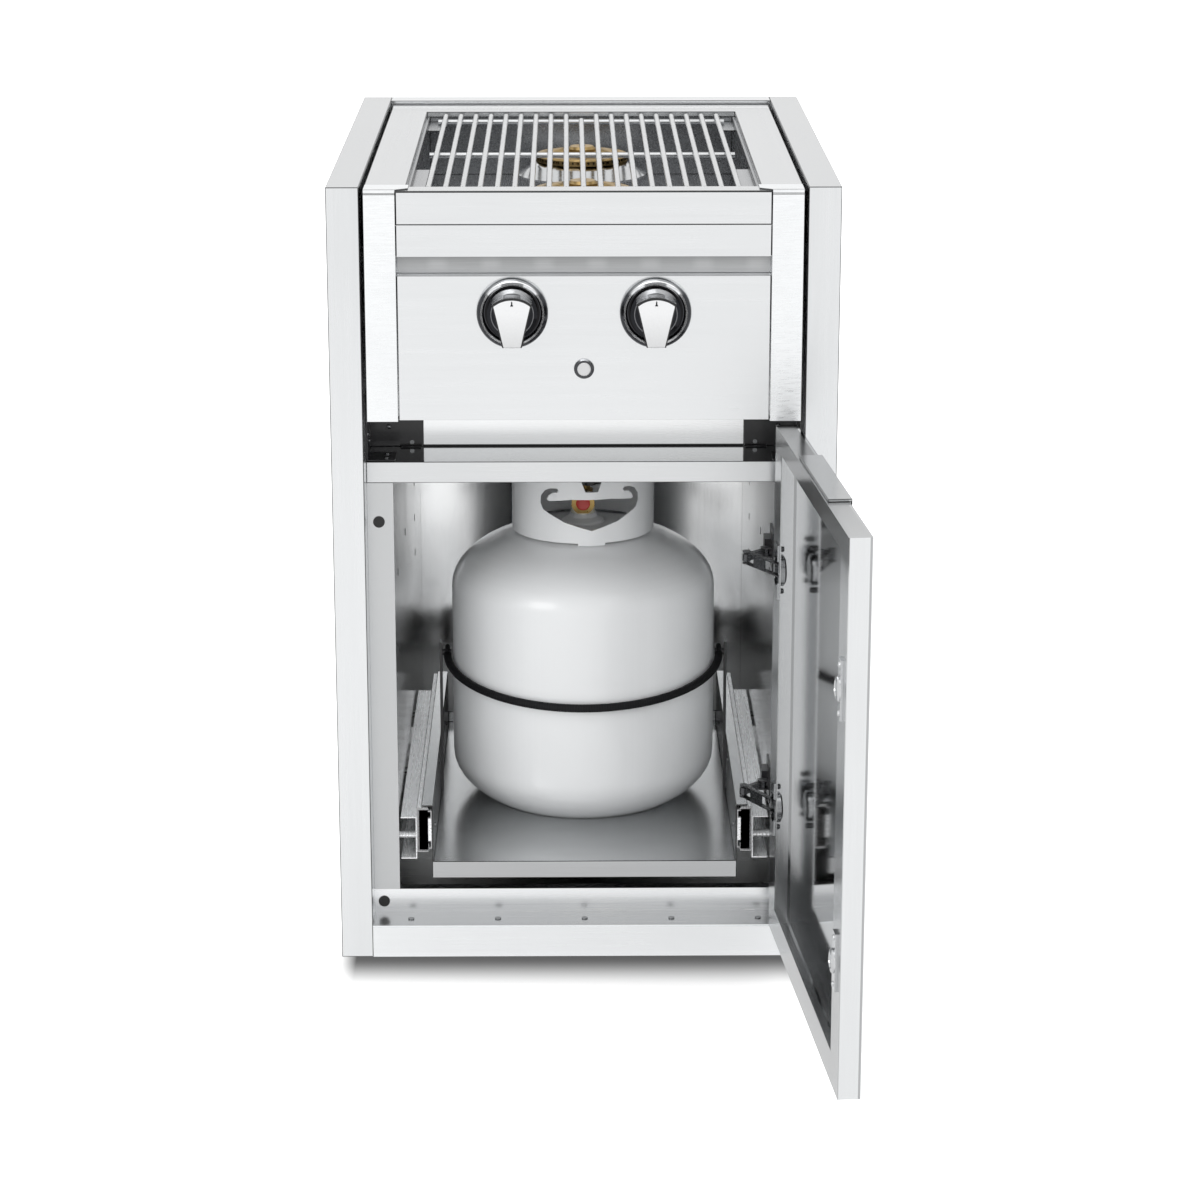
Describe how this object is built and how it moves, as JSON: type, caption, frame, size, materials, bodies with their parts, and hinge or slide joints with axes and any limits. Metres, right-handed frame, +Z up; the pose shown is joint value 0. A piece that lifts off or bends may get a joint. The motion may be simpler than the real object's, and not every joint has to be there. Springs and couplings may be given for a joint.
{
  "type": "outdoor kitchen side burner cabinet",
  "caption": "Stainless steel side burner cabinet with a round-bar grate over brass burners, a hinged door and a pull-out tray that carries a strapped gas cylinder.",
  "frame": {"origin": "middle of the flat underside, at the level that the cabinet stands on", "axes": "+Z up, -Y towards the front with its knobs and door, +X to the right as seen from the front, where the door is hinged"},
  "size_m": [0.558, 1.2275, 0.889],
  "materials": {
    "frame_steel": "brushed",
    "inner_steel": "satin",
    "front_steel": "brushed",
    "bright_steel": "polished",
    "door_steel": "brushed",
    "firebox_steel": "satin",
    "zinc": "zinc plated",
    "black_steel": "satin black",
    "brass": "satin",
    "black_plastic": "matt",
    "bezel_black": "gloss black",
    "knob_grey": "satin",
    "knob_silver": "satin",
    "ceramic": "glazed",
    "tank_white": "gloss",
    "wheel_black": "matt",
    "cord_black": "woven"
  },
  "bodies": {
    "cabinet": {"left_side_panel": "frame_steel", "right_side_panel": "frame_steel", "bottom_rail": "frame_steel", "top_rear_rail": "frame_steel", "floor_pan": "inner_steel", "back_panel": "inner_steel", "left_liner": "inner_steel", "right_liner": "inner_steel", "sill": "front_steel", "screws": "zinc", "shelf": "front_steel", "corner_brackets": "black_steel", "burner_housing": "front_steel", "firebox": "firebox_steel", "top_panel": "front_steel", "rear_trim": "front_steel", "left_pillar": "bright_steel", "right_pillar": "bright_steel", "upper_fascia": "front_steel", "lower_fascia": "front_steel", "vent_strip": "firebox_steel", "control_panel": "front_steel", "burner_bases": "bright_steel", "burner_rings": "brass", "burner_caps": "brass", "gas_tubes": "zinc", "manifold": "black_steel", "gas_valves": "brass", "knob_bezels": "bezel_black", "igniter_bezel": "bright_steel", "igniter_module": "black_plastic", "electrodes": "ceramic", "slide_brackets": "zinc", "outer_slides": "zinc", "jamb_plugs": "black_plastic", "hinge_plates": "black_steel"},
    "grate": {"grate": "bright_steel"},
    "left_stem": {"left_stem": "zinc"},
    "right_stem": {"right_stem": "zinc"},
    "left_knob": {"left_knob": "knob_grey", "left_knob_cap": "knob_silver"},
    "right_knob": {"right_knob": "knob_grey", "right_knob_cap": "knob_silver"},
    "igniter_button": {"igniter_button": "knob_silver"},
    "middle_slides": {"middle_slides": "zinc"},
    "tray": {"inner_slides": "zinc", "tray": "inner_steel", "tank_body": "tank_white", "tank_foot": "tank_white", "tank_collar": "tank_white", "tank_valve": "brass", "strap": "cord_black", "strap_posts": "black_steel"},
    "handwheel": {"tank_handwheel": "wheel_black"},
    "door": {"door_panel": "door_steel", "door_handle": "door_steel", "hinge_cups": "zinc", "door_catches": "black_steel"},
    "hinge_arms": {"hinge_arms": "zinc"},
    "hinge_links": {"hinge_links": "zinc"}
  },
  "joints": [
    {"name": "door_swing", "type": "hinge", "parent": "cabinet", "child": "door", "pos_m": [0.2384, -0.3755, 0.3285], "axis": [0, 0, 1], "range_deg": [-94.9, 2]},
    {"name": "arm_turn", "type": "hinge", "parent": "door", "child": "hinge_arms", "pos_m": [0.21613, -0.39788, 0.3285], "axis": [0, 0, 1], "range_deg": [-2, 94.9]},
    {"name": "link_turn", "type": "hinge", "parent": "cabinet", "child": "hinge_links", "pos_m": [0.20441, -0.31893, 0.3285], "axis": [0, 0, 1], "range_deg": [-94.9, 2]},
    {"name": "tray_slide", "type": "slide", "parent": "cabinet", "child": "tray", "axis": [0, -1, 0], "range_m": [0, 0.45]},
    {"name": "middle_slide", "type": "slide", "parent": "cabinet", "child": "middle_slides", "axis": [0, -1, 0], "range_m": [0, 0.225]},
    {"name": "handwheel_turn", "type": "hinge", "parent": "tray", "child": "handwheel", "pos_m": [0, -0.072, 0.5], "axis": [0, 0, 1], "range_deg": [0, 350]},
    {"name": "grate_lift", "type": "slide", "parent": "cabinet", "child": "grate", "axis": [0, 0, 1], "range_m": [0, 0.1]},
    {"name": "left_knob_push", "type": "slide", "parent": "cabinet", "child": "left_stem", "axis": [0, 1, 0], "range_m": [0, 0.003], "stiffness_N_per_m": 900},
    {"name": "left_knob_turn", "type": "hinge", "parent": "left_stem", "child": "left_knob", "pos_m": [-0.078, -0.392, 0.752], "axis": [0, -1, 0], "range_deg": [0, 220]},
    {"name": "right_knob_push", "type": "slide", "parent": "cabinet", "child": "right_stem", "axis": [0, 1, 0], "range_m": [0, 0.003], "stiffness_N_per_m": 900},
    {"name": "right_knob_turn", "type": "hinge", "parent": "right_stem", "child": "right_knob", "pos_m": [0.078, -0.392, 0.752], "axis": [0, -1, 0], "range_deg": [0, 220]},
    {"name": "igniter_press", "type": "slide", "parent": "cabinet", "child": "igniter_button", "axis": [0, 1, 0], "range_m": [0, 0.004], "stiffness_N_per_m": 500}
  ],
  "couplings": [
    {"joint": "arm_turn", "follows": "door_swing", "ratio": -1},
    {"joint": "link_turn", "follows": "door_swing", "ratio": 1},
    {"joint": "middle_slide", "follows": "tray_slide", "ratio": 0.5}
  ]
}
